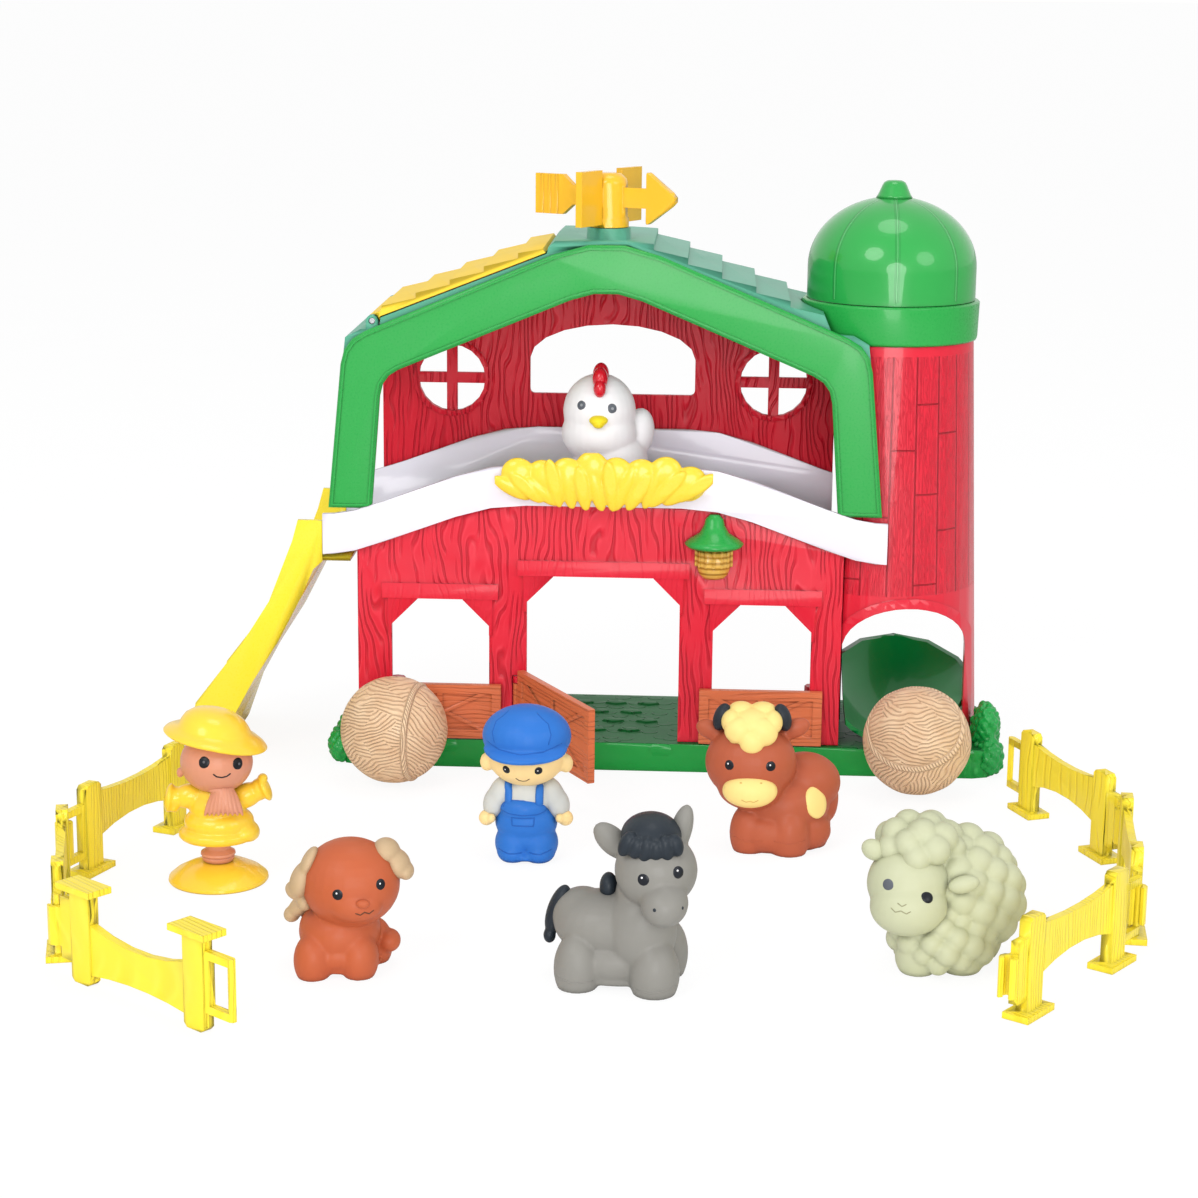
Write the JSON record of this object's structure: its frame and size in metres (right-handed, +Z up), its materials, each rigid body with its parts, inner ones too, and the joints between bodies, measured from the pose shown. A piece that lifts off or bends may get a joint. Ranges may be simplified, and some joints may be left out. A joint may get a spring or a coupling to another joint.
{
  "type": "toy farm playset",
  "caption": "Toy barn with loft, opening roof hatch, weather vane, gates, slide and silo for rolling bales, with farm figures and linked fence.",
  "frame": {"origin": "on the floor under the middle of the barn front opening, half way through the depth of the base plate", "axes": "+X to the right, towards the silo; +Y to the back; +Z up; the front opening faces -Y"},
  "size_m": [0.4127, 0.4029, 0.2595],
  "materials": {
    "green": "moulded plastic, glossy green",
    "deep_green": "moulded plastic, glossy dark green",
    "red": "moulded plastic, wood grain relief, red",
    "white": "moulded plastic, smooth white",
    "maize": "moulded plastic, warm yellow",
    "lemon": "moulded plastic, lemon yellow",
    "wood_brown": "moulded plastic, board relief, red brown",
    "blue": "painted soft plastic, blue clothes",
    "brown": "soft plastic, brown",
    "terracotta": "soft plastic, terracotta",
    "grey": "soft plastic, grey",
    "wool": "soft plastic, pale wool",
    "hen_white": "soft plastic, white",
    "hay_tan": "moulded plastic, straw relief, tan",
    "amber": "moulded plastic, amber",
    "straw": "soft plastic, straw pink",
    "steel": "plain steel pin or screw"
  },
  "bodies": {
    "playset": {"base": "green", "barn_wall": "red", "loft_tray": "white", "hay_trim": "maize", "back_wall": "red", "gable_frame": "green", "roof_shell": "green", "hatch_pin": "steel", "vane_pin": "green", "silo_wall": "red", "silo_chute": "deep_green", "silo_ring": "green", "dome_pin": "steel", "lantern_cap": "green", "lantern_glass": "amber", "gate_left": "wood_brown", "gate_right": "wood_brown", "gate_hinge": "red", "base_screw_1": "steel", "base_screw_2": "steel", "base_screw_3": "steel", "base_screw_4": "steel"},
    "hatch": {"roof_hatch": "maize"},
    "vane": {"weather_vane": "maize"},
    "dome": {"silo_dome": "green"},
    "gate": {"gate_middle": "wood_brown"},
    "slide_part": {"slide": "lemon"},
    "farmer_part": {"farmer": "blue"},
    "calf_part": {"calf": "brown"},
    "puppy_part": {"puppy": "terracotta"},
    "donkey_part": {"donkey": "grey"},
    "sheep_part": {"sheep": "wool"},
    "chicken_part": {"chicken": "hen_white"},
    "scarecrow": {"scarecrow_stand": "maize", "scarecrow_leg": "straw", "scarecrow_coat": "maize", "scarecrow_head": "straw", "scarecrow_hat": "maize"},
    "ball_left": {"hay_ball_left": "hay_tan"},
    "ball_right": {"hay_ball_right": "hay_tan"},
    "fence_r1": {"fence_right_a": "lemon"},
    "fence_r2": {"fence_right_b": "lemon"},
    "fence_r3": {"fence_right_c": "lemon"},
    "fence_l1": {"fence_left_a": "lemon"},
    "fence_l2": {"fence_left_b": "lemon"},
    "fence_l3": {"fence_left_c": "lemon"}
  },
  "joints": [
    {"name": "hatch_lift", "type": "hinge", "parent": "playset", "child": "hatch", "pos_m": [-0.0998, 0.00175, 0.1954], "axis": [0, -1, 0], "range_deg": [0, 100]},
    {"name": "vane_spin", "type": "hinge", "parent": "playset", "child": "vane", "pos_m": [0, -0.02, 0.245], "axis": [0, 0, 1], "continuous": true},
    {"name": "dome_lift", "type": "hinge", "parent": "playset", "child": "dome", "pos_m": [0.1222, 0.0464, 0.20435], "axis": [-1, 0, 0], "range_deg": [0, 100]},
    {"name": "gate_swing", "type": "hinge", "parent": "playset", "child": "gate", "pos_m": [-0.03677, -0.0388, 0.029], "axis": [0, 0, 1], "range_deg": [-59, 60.5]},
    {"name": "slide_unhook", "type": "slide", "parent": "playset", "child": "slide_part", "axis": [-1, 0, 0], "range_m": [0, 0.03]},
    {"name": "farmer_lift", "type": "slide", "parent": "playset", "child": "farmer_part", "axis": [0, 0, 1], "range_m": [0, 0.06]},
    {"name": "calf_lift", "type": "slide", "parent": "playset", "child": "calf_part", "axis": [0, 0, 1], "range_m": [0, 0.06]},
    {"name": "puppy_lift", "type": "slide", "parent": "playset", "child": "puppy_part", "axis": [0, 0, 1], "range_m": [0, 0.06]},
    {"name": "donkey_lift", "type": "slide", "parent": "playset", "child": "donkey_part", "axis": [0, 0, 1], "range_m": [0, 0.06]},
    {"name": "sheep_lift", "type": "slide", "parent": "playset", "child": "sheep_part", "axis": [0, 0, 1], "range_m": [0, 0.06]},
    {"name": "chicken_lift", "type": "slide", "parent": "playset", "child": "chicken_part", "axis": [0, 0, 1], "range_m": [0, 0.03]},
    {"name": "scarecrow_lift", "type": "slide", "parent": "playset", "child": "scarecrow", "axis": [0, 0, 1], "range_m": [0, 0.06]},
    {"name": "ball_left_lift", "type": "slide", "parent": "playset", "child": "ball_left", "axis": [0, 0, 1], "range_m": [0, 0.05]},
    {"name": "ball_right_lift", "type": "slide", "parent": "playset", "child": "ball_right", "axis": [0, 0, 1], "range_m": [0, 0.05]},
    {"name": "fence_right_lift", "type": "slide", "parent": "playset", "child": "fence_r1", "axis": [0, 0, 1], "range_m": [0, 0.05]},
    {"name": "fence_right_link_1", "type": "hinge", "parent": "fence_r1", "child": "fence_r2", "pos_m": [0.20067, -0.24767, 0.0177], "axis": [0, 0, 1], "range_deg": [-50, 3]},
    {"name": "fence_right_link_2", "type": "hinge", "parent": "fence_r2", "child": "fence_r3", "pos_m": [0.20895, -0.15664, 0.0177], "axis": [0, 0, 1], "range_deg": [-60, 3]},
    {"name": "fence_left_lift", "type": "slide", "parent": "playset", "child": "fence_l1", "axis": [0, 0, 1], "range_m": [0, 0.05]},
    {"name": "fence_left_link_1", "type": "hinge", "parent": "fence_l1", "child": "fence_l2", "pos_m": [-0.19596, -0.20574, 0.0177], "axis": [0, 0, 1], "range_deg": [-50, 8]},
    {"name": "fence_left_link_2", "type": "hinge", "parent": "fence_l2", "child": "fence_l3", "pos_m": [-0.17602, -0.29494, 0.0177], "axis": [0, 0, 1], "range_deg": [-60, 8]}
  ]
}
